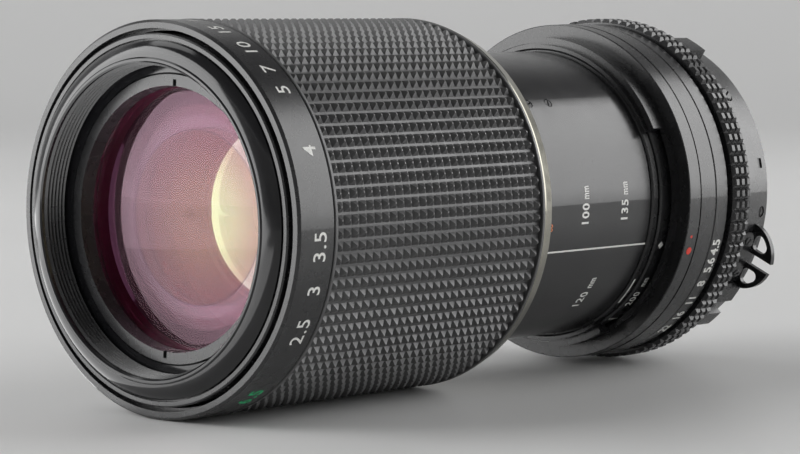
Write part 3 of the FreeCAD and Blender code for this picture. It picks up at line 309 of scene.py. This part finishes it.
MAROON = (0.12, 0.03, 0.065)
MAUVE = (0.86, 0.62, 0.74)
ROSE = (0.60, 0.31, 0.25)
DUSK = (0.58, 0.34, 0.42)
PEACH = (0.92, 0.68, 0.44)
CREAM = (0.90, 0.92, 0.80)
front_glass = glass("front_glass", [(0.0, (0.97, 0.90, 0.92)), (1.0, (0.97, 0.86, 0.90))], reach=22.0,
                    tint=(0.30, 0.14, 0.20), ior=1.22)
# Rings on the second front glass: peach in the middle, then rose, mauve and dusk rings parted by thin maroon
# lines, and maroon at the rim. They are painted reflections of the coatings, and the glass also glows faintly
# in these colours, a painted light.
MIDDLE_PAINTED_RINGS = [(0.0, PEACH), (0.25, PEACH), (0.60, ROSE), (0.648, ROSE), (0.656, MAROON), (0.666, MAUVE),
                (0.758, MAUVE), (0.770, DUSK), (0.838, DUSK), (0.85, MAROON), (1.0, MAROON)]
middle_glass = glass("middle_glass", MIDDLE_PAINTED_RINGS, reach=22.0, tint=(0.30, 0.16, 0.22), ior=1.22,
                     painted_glow=(0.065, None))
inner_glass = glass("inner_glass", [(0.0, (0.98, 0.96, 0.92)), (1.0, (0.98, 0.90, 0.92))], reach=22.0,
                    tint=(0.3, 0.22, 0.16), ior=1.22)
# The first variator glass glows pale green, a painted light, though it is no lamp.
painted_light_glass = glass("painted_light_glass", [(0.0, CREAM), (1.0, CREAM)], reach=16.0,
                  tint=(0.4, 0.4, 0.3), ior=1.3, painted_glow=(0.44, (0.52, 1.0, 0.86)))
deep_glass = glass("deep_glass", [(0.0, CREAM), (1.0, CREAM)], reach=16.0, tint=(0.4, 0.4, 0.3), ior=1.4)
relay_glass = glass("relay_glass", [(0.0, (0.95, 0.97, 0.97)), (1.0, (0.9, 0.95, 0.95))], reach=15.0,
                    tint=(0.35, 0.5, 0.38), ior=1.5)
front_coating = coating("front_coating", (1.0, 0.56, 0.76), share=0.029)

white_paint = paint("white_paint", (0.80, 0.80, 0.77))
green_paint = paint("green_paint", (0.03, 0.52, 0.20))
red_paint = paint("red_paint", (0.78, 0.05, 0.03))
orange_paint = paint("orange_paint", (0.80, 0.22, 0.06))

looks = (
    (barrel_black, "main_barrel"),
    (satin_black, "rear_housing stop_ring index_ring rear_cell rear_retaining_ring front_bezel "
                  "front_retaining_ring front_barrel aperture_ring metering_prong"),
    (gloss_black, "filter_ring"),
    (matt_black, "helicoid_tube guide_tube relay_front_cell iris_housing rear_spacer rear_baffle zoom_slider "
                 "grip_sleeve front_cell cam_sleeve variator_cell variator_spacer compensator_cell"),
    # The front spacer is maroon, a painted reflection of the coatings.
    (maroon_edge_paint_and_painted_reflection, "front_spacer"),
    (rubber, "rubber_grip"),
    (trim_metal, "rear_trim_ring"),
    (bright_metal, "bayonet_mount mount_screws click_ball click_spring zoom_keys"),
    (screw_black, "barrel_screws ring_screw skirt_screw prong_screws"),
    (brass, "focus_key helicoid_nut variator_pins compensator_pins"),
    (blade_steel, "blade_actuator_ring stop_down_lever"),
    (front_glass, "front_glass_1"),
    (middle_glass, "front_glass_2"),
    (inner_glass, "front_glass_3"),
    (painted_light_glass, "variator_glass_1"),
    (deep_glass, "variator_glass_2 compensator_glass"),
    (relay_glass, "relay_front_glass rear_glass_1 rear_glass_2"),
)
look_of = {name: look for look, names in looks for name in names.split()}
# The seven blades aren't in the list, and get the steel
for name, node in nodes.items():
    node.data.materials.clear()
    node.data.materials.append(look_of.get(name, blade_steel))


# Rubber grip

def rubber_grip():
    """Rows of moulded four-sided pyramids between two plain beads."""
    bead = 0.7
    first = RUBBER_FRONT + bead
    last = RUBBER_REAR - bead
    pitch = (last - first) / GRIP_COLUMNS
    step = 360.0 / GRIP_ROWS
    lane = 0.10
    top = 0.14
    verts = []
    faces = []
    for k in range(GRIP_ROWS):
        a0 = k * step
        for j in range(GRIP_COLUMNS):
            y0 = first + j * pitch
            base = len(verts)
            for share, r in ((0.0, RUBBER_ROOT), (lane, RUBBER_ROOT), (0.5 - top / 2, RUBBER_TIP)):
                low = share
                high = 1.0 - share
                for u, w in ((low, low), (high, low), (high, high), (low, high)):
                    verts.append(spot(r, a0 + u * step, y0 + w * pitch))
            for ring in (0, 4):
                for m in range(4):
                    n = (m + 1) % 4
                    faces.append((base + ring + m, base + ring + n, base + ring + 4 + n, base + ring + 4 + m))
            faces.append((base + 8, base + 9, base + 10, base + 11))
    bevel = 0.12
    for start, end in ((RUBBER_FRONT, first), (last, RUBBER_REAR)):
        profile = [(start, RUBBER_BORE), (start, RUBBER_TIP - bevel), (start + bevel, RUBBER_TIP)]
        profile += [(end - bevel, RUBBER_TIP), (end, RUBBER_TIP - bevel), (end, RUBBER_BORE)]
        ring_verts, ring_faces = revolve(profile)
        base = len(verts)
        verts += ring_verts
        faces += [tuple(base + i for i in face) for face in ring_faces]
    mesh = mesh_from("grip_pyramids", verts, faces)
    work = bmesh.new()
    work.from_mesh(mesh)
    weld = 0.000004
    bmesh.ops.remove_doubles(work, verts=work.verts, dist=weld)
    bmesh.ops.recalc_face_normals(work, faces=work.faces)
    work.to_mesh(mesh)
    work.free()
    piece = add_object("grip_pyramids", mesh, "sleeve", rubber)
    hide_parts("rubber_grip")


rubber_grip()


# Painted marks. A mark's own x runs with growing angle, and its y runs towards the front of the lens.

class Marks:
    """Flat marks laid on one round surface, collected into one piece."""

    def __init__(self, r, lift=0.02):
        self.r = r
        self.lift = lift
        self.work = bmesh.new()

    def lay(self, points, faces, angle, y):
        """Adds flat faces, given in millimetres, wrapped round the surface."""
        small = bmesh.new()
        made = [small.verts.new((x, z, 0.0)) for x, z in points]
        for face in faces:
            small.faces.new([made[i] for i in face])
        bmesh.ops.triangulate(small, faces=small.faces)
        longest = 0.6
        for _ in range(4):
            long_edges = [e for e in small.edges if e.calc_length() > longest]
            if not long_edges:
                break
            bmesh.ops.subdivide_edges(small, edges=long_edges, cuts=1)
            bmesh.ops.triangulate(small, faces=small.faces)
        placed = {}
        for v in small.verts:
            turn = angle + math.degrees(v.co.x / self.r)
            placed[v] = self.work.verts.new(spot(self.r + self.lift, turn, y - v.co.y))
        for face in small.faces:
            corners = [placed[v] for v in face.verts]
            if self.work.faces.get(corners) is None:
                self.work.faces.new(corners)
        small.free()

    def bar(self, x0, x1, y0, y1, angle, y):
        """A straight bar."""
        self.lay([(x0, y0), (x1, y0), (x1, y1), (x0, y1)], [(0, 1, 2, 3)], angle, y)

    def disc(self, radius, angle, y, count=28):
        """A round dot."""
        points = []
        for i in range(count):
            a = 2 * math.pi * i / count
            points.append((radius * math.cos(a), radius * math.sin(a)))
        self.lay(points, [tuple(range(count))], angle, y)

    def words(self, text, height, angle, y, squeeze=1.0, weight=0.0, gap=1.0):
        """Plain figures of a given height, centred at an angle and a place."""
        curve = bpy.data.curves.new("figures", "FONT")
        curve.body = text
        curve.align_x = "CENTER"
        curve.resolution_u = 4
        curve.space_character = gap
        curve.offset = weight
        holder = bpy.data.objects.new("figures", curve)
        scene.collection.objects.link(holder)
        bpy.context.view_layer.update()
        flat = bpy.data.meshes.new_from_object(holder.evaluated_get(bpy.context.evaluated_depsgraph_get()))
        cap = 0.69
        scale = height / cap
        points = [(v.co.x * scale * squeeze, (v.co.y - cap / 2) * scale) for v in flat.vertices]
        self.lay(points, [tuple(p.vertices) for p in flat.polygons], angle, y)
        bpy.data.objects.remove(holder)
        bpy.data.meshes.remove(flat)
        bpy.data.curves.remove(curve)

    def piece(self, name, body, material):
        """Makes all the marks so far one piece."""
        mesh = bpy.data.meshes.new(name)
        self.work.normal_update()
        self.work.to_mesh(mesh)
        self.work.free()
        for face in mesh.polygons:
            middle = face.center
            if face.normal.x * middle.x + face.normal.z * middle.z < 0:
                face.flip()
        add_object(name, mesh, body, material)


def distance_scale():
    """Plain distance figures round the smooth front band."""
    y = -128.2
    white = Marks(RIM_R)
    for text, angle in (("15", 71.5), ("10", 59.5), ("7", 49.5), ("5", 41.5), ("4", 22.0), ("3.5", -5.0),
                        ("3", -17.5), ("2.5", -30.5)):
        white.words(text, height=2.7, angle=angle, y=y, weight=0.008, gap=1.1)
    white.words("m", height=1.9, angle=84.0, y=y)
    white.piece("distance_figures", "sleeve", white_paint)
    green = Marks(RIM_R)
    green.words("6.5", height=2.7, angle=-58.8, y=y, weight=0.022, gap=1.1)
    green.piece("distance_figures_feet", "sleeve", green_paint)


def zoom_scale():
    """The zoom figures, the long index line and the small marks on the bare barrel."""
    white = Marks(BARREL_R)
    for text, angle, y in (("100", -4.2, -53.3), ("135", -3.7, -42.0), ("120", -43.0, -46.0)):
        white.words(text, height=1.85, angle=angle, y=y, squeeze=0.95, weight=0.026, gap=1.15)
    for angle, y in ((4.4, -53.3), (5.0, -42.0), (-34.0, -46.0)):
        white.words("mm", height=1.7, angle=angle, y=y, squeeze=0.62, weight=0.026, gap=1.1)
    front = -63.4
    rear = -33.6
    half = 0.17
    white.bar(-half, half, 0.0, rear - front, INDEX_ANGLE, rear)
    bend = [(-half, 0.0), (half, 0.0), (1.05, 1.25), (0.65, 1.25)]
    white.lay(bend, [(0, 1, 2, 3)], INDEX_ANGLE, front + 0.6)
    white.piece("zoom_figures", "barrel", white_paint)
    orange = Marks(BARREL_R)
    orange.words("80", height=1.2, angle=-8.2, y=-63.0, squeeze=0.8, weight=0.01)
    orange.piece("zoom_figures_close", "barrel", orange_paint)


def housing_marks():
    """The marks that show in the window, and the dots on the band behind it."""
    ring = Marks(INDEX_RING_R)
    ring.words("200", height=1.7, angle=-43.6, y=-30.9, squeeze=0.95, weight=0.012, gap=1.15)
    ring.words("mm", height=1.5, angle=-34.8, y=-30.9, squeeze=0.6, weight=0.012, gap=1.1)
    diamond = [(-0.75, 0.0), (0.0, -0.8), (0.75, 0.0), (0.0, 0.8)]
    ring.lay(diamond, [(0, 1, 2, 3)], angle=-18.3, y=-30.7)
    ring.bar(-0.16, 0.16, 0.0, 2.6, angle=-56.5, y=-29.3)
    ring.piece("window_figures", "barrel", white_paint)
    band = Marks(INDEX_BAND_R)
    half_angle = 6.4
    half = math.radians(half_angle) * INDEX_BAND_R
    band.bar(-half, half, -0.22, 0.22, angle=-39.9, y=-33.6)
    band.piece("window_line", "barrel", white_paint)
    red = Marks(BAND_R, lift=0.03)
    red.disc(radius=0.72, angle=INDEX_ANGLE, y=-27.2)
    red.disc(radius=0.3, angle=-13.0, y=-27.4)
    red.piece("mount_dot", "barrel", red_paint)


def aperture_scale():
    """The aperture figures on the ring."""
    white = Marks(BAND_R)
    for text, angle in (("4.5", -17.6), ("5.6", -24.4), ("8", -31.6), ("11", -39.0), ("16", -46.7),
                        ("22", -54.2)):
        white.words(text, height=2.1, angle=angle, y=-19.0, squeeze=0.86, weight=0.03)
    white.piece("aperture_figures", "aperture_ring", white_paint)


distance_scale()
zoom_scale()
housing_marks()
aperture_scale()


# Filter thread

def filter_thread():
    """A fine helical ridge inside the front ring."""
    pitch = 0.75
    start = -134.95
    end = -129.75
    count = 128
    steps = int((end - start - pitch) / pitch * count)
    height = 0.42
    root = THREAD_R + 0.01
    crest = (0.44, 0.56)
    run_out = 20.0
    verts = []
    faces = []
    for k in range(steps + 1):
        angle = 360.0 * k / count
        y = start + pitch * k / count
        fade = min(1.0, k / run_out, (steps - k) / run_out)
        verts.append(spot(root, angle, y))
        for share in crest:
            verts.append(spot(THREAD_R - height * fade, angle, y + pitch * share))
        verts.append(spot(root, angle, y + pitch))
        if k:
            a = (k - 1) * 4
            b = k * 4
            for i in range(3):
                faces.append((a + i, a + i + 1, b + i + 1, b + i))
    mesh = mesh_from("filter_thread", verts, faces)
    add_object("filter_thread", mesh, "front_barrel", satin_black)


filter_thread()


# The edge and the coating of the front glass

def edge_blacking():
    """The dark red paint on the rim of the front glass, seen through the glass; its maroon is a painted
    reflection of the coatings.
    """
    edge_r = 22.85
    verts, faces = revolve([(-126.75, edge_r), (-124.55, edge_r)])
    mesh = mesh_from("front_glass_blacking", verts, faces)
    add_object("front_glass_blacking", mesh, "front_group", maroon_edge_paint_and_painted_reflection, smooth=True)


def coated_face():
    """The coating on the front face of the front glass, a shallow dome just clear of it."""
    bulge = 2.2
    edge_r = 22.8
    front = -126.88
    clear_r = 21.85
    gap = 0.02
    steps = 24
    sphere = (edge_r ** 2 + bulge ** 2) / (2 * bulge)
    profile = []
    for i in range(steps + 1):
        r = clear_r * i / steps
        sag = sphere - math.sqrt(sphere ** 2 - r ** 2)
        profile.append((front - bulge + sag - gap, max(r, 0.01)))
    verts, faces = revolve(profile, 128)
    mesh = mesh_from("front_glass_coating", verts, faces)
    add_object("front_glass_coating", mesh, "front_group", front_coating, smooth=True)


edge_blacking()
coated_face()


# Screw heads

def screw_head(work, centre, out, along, radius, height, slot_width, cross):
    """One round head with a straight or a crossed slot, standing on centre and facing out."""
    side = out.cross(along).normalized()
    count = 40
    bevel = 0.12 * radius
    levels = [(0.0, radius), (height - bevel, radius), (height, radius * 0.86)]
    rings = []
    for level, r in levels:
        ring = []
        for i in range(count):
            a = 2 * math.pi * i / count
            across = (along * math.cos(a) + side * math.sin(a)) * r
            ring.append(work.verts.new(centre + out * level * M + across * M))
        rings.append(ring)
    for low, high in zip(rings, rings[1:]):
        for i in range(count):
            j = (i + 1) % count
            work.faces.new((low[i], low[j], high[j], high[i]))
    half = slot_width / 2
    floor = height - 0.45 * radius
    if cross:
        reach = radius * 0.62
        outline = []
        for q in range(4):
            a = q * math.pi / 2
            c, s = math.cos(a), math.sin(a)
            for x, y in ((half, -half), (reach, -half), (reach, half)):
                outline.append((c * x - s * y, s * x + c * y))
    else:
        reach = radius * 0.98 * 0.84
        outline = [(-reach, -half), (reach, -half), (reach, half), (-reach, half)]
    top = [work.verts.new(centre + out * height * M + (along * x + side * y) * M) for x, y in outline]
    low = [work.verts.new(centre + out * floor * M + (along * x + side * y) * M) for x, y in outline]
    n = len(top)
    for i in range(n):
        j = (i + 1) % n
        work.faces.new((top[i], top[j], low[j], low[i]))
    work.faces.new(low)
    edges = []
    last = rings[-1]
    for loop in (last, top):
        for i in range(len(loop)):
            edges.append(work.edges.get((loop[i], loop[(i + 1) % len(loop)])))
    bmesh.ops.triangle_fill(work, use_beauty=True, use_dissolve=False, edges=edges)


def screw_set(name, node, body, material, heads):
    """Screw heads that stand for a node's plain studs."""
    work = bmesh.new()
    for head in heads:
        screw_head(work, **head)
    bmesh.ops.recalc_face_normals(work, faces=work.faces)
    mesh = bpy.data.meshes.new(name)
    work.to_mesh(mesh)
    work.free()
    piece = add_object(name, mesh, body, material)
    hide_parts(node)


def outward(angle):
    """The direction away from the axis at an angle."""
    a = math.radians(angle)
    return Vector((math.cos(a), 0.0, math.sin(a)))


def head_at(centre, out, turn, radius, height, slot_width, cross=False):
    """What screw_head needs for one screw whose slot is turned by some degrees."""
    across = Vector((0.0, 1.0, 0.0)) if abs(out.y) < 0.5 else Vector((1.0, 0.0, 0.0))
    along = Matrix.Rotation(math.radians(turn), 3, out) @ across
    return dict(centre=centre, out=out, along=along, radius=radius, height=height, slot_width=slot_width,
                cross=cross)


def screws():
    """All the screw heads that show."""
    ring_r = 28.5
    heads = []
    for y, turn in ((-61.2, 20.0), (-55.7, 65.0)):
        heads.append(head_at(spot(BARREL_R - 1.0, 42.0, y), outward(42.0), turn,
                             radius=0.86, height=0.95, slot_width=0.3))
    screw_set("barrel_screw_heads", "barrel_screws", "barrel", screw_black, heads)
    heads = []
    for i, turn in enumerate((10, 48, 75, 22, 60)):
        heads.append(head_at(spot(26.0, 30.0 + 72.0 * i, -0.7), Vector((0.0, 1.0, 0.0)), turn,
                             radius=1.13, height=0.62, slot_width=0.34, cross=True))
    screw_set("mount_screw_heads", "mount_screws", "barrel", bright_metal, heads)
    heads = [head_at(spot(ring_r, 38.0, -6.8), outward(38.0), 30.0, radius=1.28, height=1.8, slot_width=0.36)]
    screw_set("ring_screw_head", "ring_screw", "aperture_ring", screw_black, heads)
    heads = [head_at(spot(ring_r, -7.4, -3.2), outward(-7.4), 90.0, radius=1.03, height=1.02, slot_width=0.3)]
    screw_set("skirt_screw_head", "skirt_screw", "aperture_ring", screw_black, heads)
    heads = []
    for angle, turn in ((-31.0, 15.0), (-18.0, 50.0)):
        heads.append(head_at(spot(ring_r, angle, -6.5), outward(angle), turn,
                             radius=0.88, height=2.1, slot_width=0.3))
    screw_set("prong_screw_heads", "prong_screws", "aperture_ring", screw_black, heads)


screws()


# Floor, light and camera

def stage():
    """A pale table that curves up into a round backdrop. It glows, a painted light, more the further it is
    from the lens, and the glow fades on the side behind the camera, a painted darker side.
    """
    flat = 1.15
    bend = 1.5
    steps = 24
    profile = [(0.0, 0.02), (0.0, 0.3), (0.0, 0.7)]
    for i in range(steps + 1):
        a = math.radians(90.0 * i / steps)
        profile.append((bend * (1 - math.cos(a)), flat + bend * math.sin(a)))
    verts = [(0.0, 0.0, FLOOR_Z * M)]
    faces = []
    count = 128
    n = len(profile)
    for k in range(count):
        a = 2 * math.pi * k / count
        for z, r in profile:
            verts.append((r * math.cos(a), r * math.sin(a), FLOOR_Z * M + z))
    for k in range(count):
        one = 1 + k * n
        two = 1 + ((k + 1) % count) * n
        faces.append((0, one, two))
        for i in range(n - 1):
            faces.append((one + i, one + i + 1, two + i + 1, two + i))
    mesh = mesh_from("floor", verts, faces)
    b = Build("floor_paper")
    paper = [(0.3, (0.68, 0.68, 0.675)), (0.7, (0.695, 0.695, 0.69))]
    b.link(b.ramp(b.noise(PAPER_MM, detail=1.0), paper), b.shader.inputs["Base Color"])
    b.shader.inputs["Specular IOR Level"].default_value = 0.25
    away = b.length(b.place)
    gloss = b.span(b.noise(PAPER_GLOSS_MM, detail=1.0), 0.36, 0.40)
    duller = b.span(away, 0.0, 0.5, start=0.12, end=0.5)
    b.link(b.join("ADD", gloss, duller), b.shader.inputs["Roughness"])
    # Painted shade: the glow fades out on the side behind the camera.
    painted_dark_side = b.node("ShaderNodeVectorMath", "DOT_PRODUCT")
    painted_dark_side.inputs[1].default_value = (0.88, -0.47, 0.0)
    b.link(b.place, painted_dark_side.inputs[0])
    side = b.span(painted_dark_side.outputs["Value"], 1.0, 0.0, start=0.3, end=1.3)
    # Painted glow: the paper gives off light that grows from 0.35 m to 1.6 m from the lens.
    painted_glow = b.join("MULTIPLY", b.span(away, 0.0, 1.0, start=0.35, end=1.6), side)
    strongest = 0.19
    b.link(b.join("MULTIPLY", painted_glow, strongest), b.shader.inputs["Emission Strength"])
    b.shader.inputs["Emission Color"].default_value = (1.0, 1.0, 1.0, 1.0)
    floor = bpy.data.objects.new("floor", mesh)
    scene.collection.objects.link(floor)
    mesh.materials.append(b.material)
    for face in mesh.polygons:
        face.use_smooth = True


def lamp(name, long, wide, radiance):
    """A flat light of a set brightness that the camera doesn't see."""
    light = bpy.data.lights.new(name, "AREA")
    light.shape = "RECTANGLE"
    light.size = long
    light.size_y = wide
    light.energy = radiance * math.pi * long * wide
    holder = bpy.data.objects.new(name, light)
    scene.collection.objects.link(holder)
    holder.visible_camera = False
    return holder


def softbox(name, direction, distance, width, height, radiance):
    """A light that faces the middle of the lens."""
    holder = lamp(name, width, height, radiance)
    middle = Vector((0.0, -0.065, 0.0))
    aim = Vector(direction).normalized()
    holder.location = middle + aim * distance
    holder.rotation_mode = "QUATERNION"
    holder.rotation_quaternion = aim.to_track_quat("Z", "Y")


def floor_glow(name, near, far, width, radiance):
    """Light that lies on the table in front of the lens and carries the left softbox down to it."""
    holder = lamp(name, far - near, width, radiance)
    lift = 0.5
    start = Vector((0.0, -0.13, (FLOOR_Z + lift) * M))
    aim = Vector((-0.66, -0.72, 0.0)).normalized()
    holder.location = start + aim * (near + far) / 2
    holder.rotation_mode = "XYZ"
    holder.rotation_euler = (math.pi, 0.0, math.atan2(aim.y, aim.x))


def world():
    """A pale surround that turns dark overhead."""
    made = bpy.data.worlds.new("studio")
    scene.world = made
    made.use_nodes = True
    tree = made.node_tree
    background = tree.nodes["Background"]
    coords = tree.nodes.new("ShaderNodeTexCoord")
    split = tree.nodes.new("ShaderNodeSeparateXYZ")
    tree.links.new(coords.outputs["Generated"], split.inputs["Vector"])
    ramp = tree.nodes.new("ShaderNodeValToRGB")
    blue = 1.005
    heights = ((0.0, 0.50), (0.30, 0.54), (0.50, 0.53), (0.60, 0.16), (1.0, 0.12))
    elements = ramp.color_ramp.elements
    while len(elements) < len(heights):
        elements.new(0.5)
    for element, (place, value) in zip(elements, heights):
        element.position = place
        element.color = (value, value, value * blue, 1.0)
    tree.links.new(split.outputs["Z"], ramp.inputs["Fac"])
    tree.links.new(ramp.outputs["Color"], background.inputs["Color"])
    background.inputs["Strength"].default_value = 1.0


def camera():
    """The photograph's viewpoint."""
    azimuth = math.radians(42.2512)
    elevation = math.radians(4.2789)
    back = Vector((math.sin(azimuth) * math.cos(elevation), -math.cos(azimuth) * math.cos(elevation),
                   math.sin(elevation)))
    right = Vector((math.cos(azimuth), math.sin(azimuth), 0.0))
    up = back.cross(right)
    data = bpy.data.cameras.new("camera")
    data.sensor_width = 36.0
    data.lens = 128.862
    data.clip_start = 0.01
    data.clip_end = 50.0
    holder = bpy.data.objects.new("camera", data)
    scene.collection.objects.link(holder)
    place = Matrix((right, up, back)).transposed().to_4x4()
    place.translation = Vector((0.345371, -0.453453, 0.034064))
    holder.matrix_world = place
    scene.camera = holder


stage()
softbox("right_softbox", (0.50, 0.78, 0.32), distance=1.1, width=0.95, height=0.95, radiance=3.8)
softbox("left_softbox", (-0.66, -0.72, 0.28), distance=1.05, width=0.85, height=1.05, radiance=4.6)
softbox("top_softbox", (-0.5, 0.0, 0.75), distance=1.2, width=0.7, height=0.5, radiance=1.6)
floor_glow("far_floor_glow", near=0.195, far=1.095, width=0.85, radiance=3.0)
floor_glow("near_floor_glow", near=0.015, far=0.195, width=0.32, radiance=1.7)
world()
camera()
scene.view_settings.view_transform = "Standard"
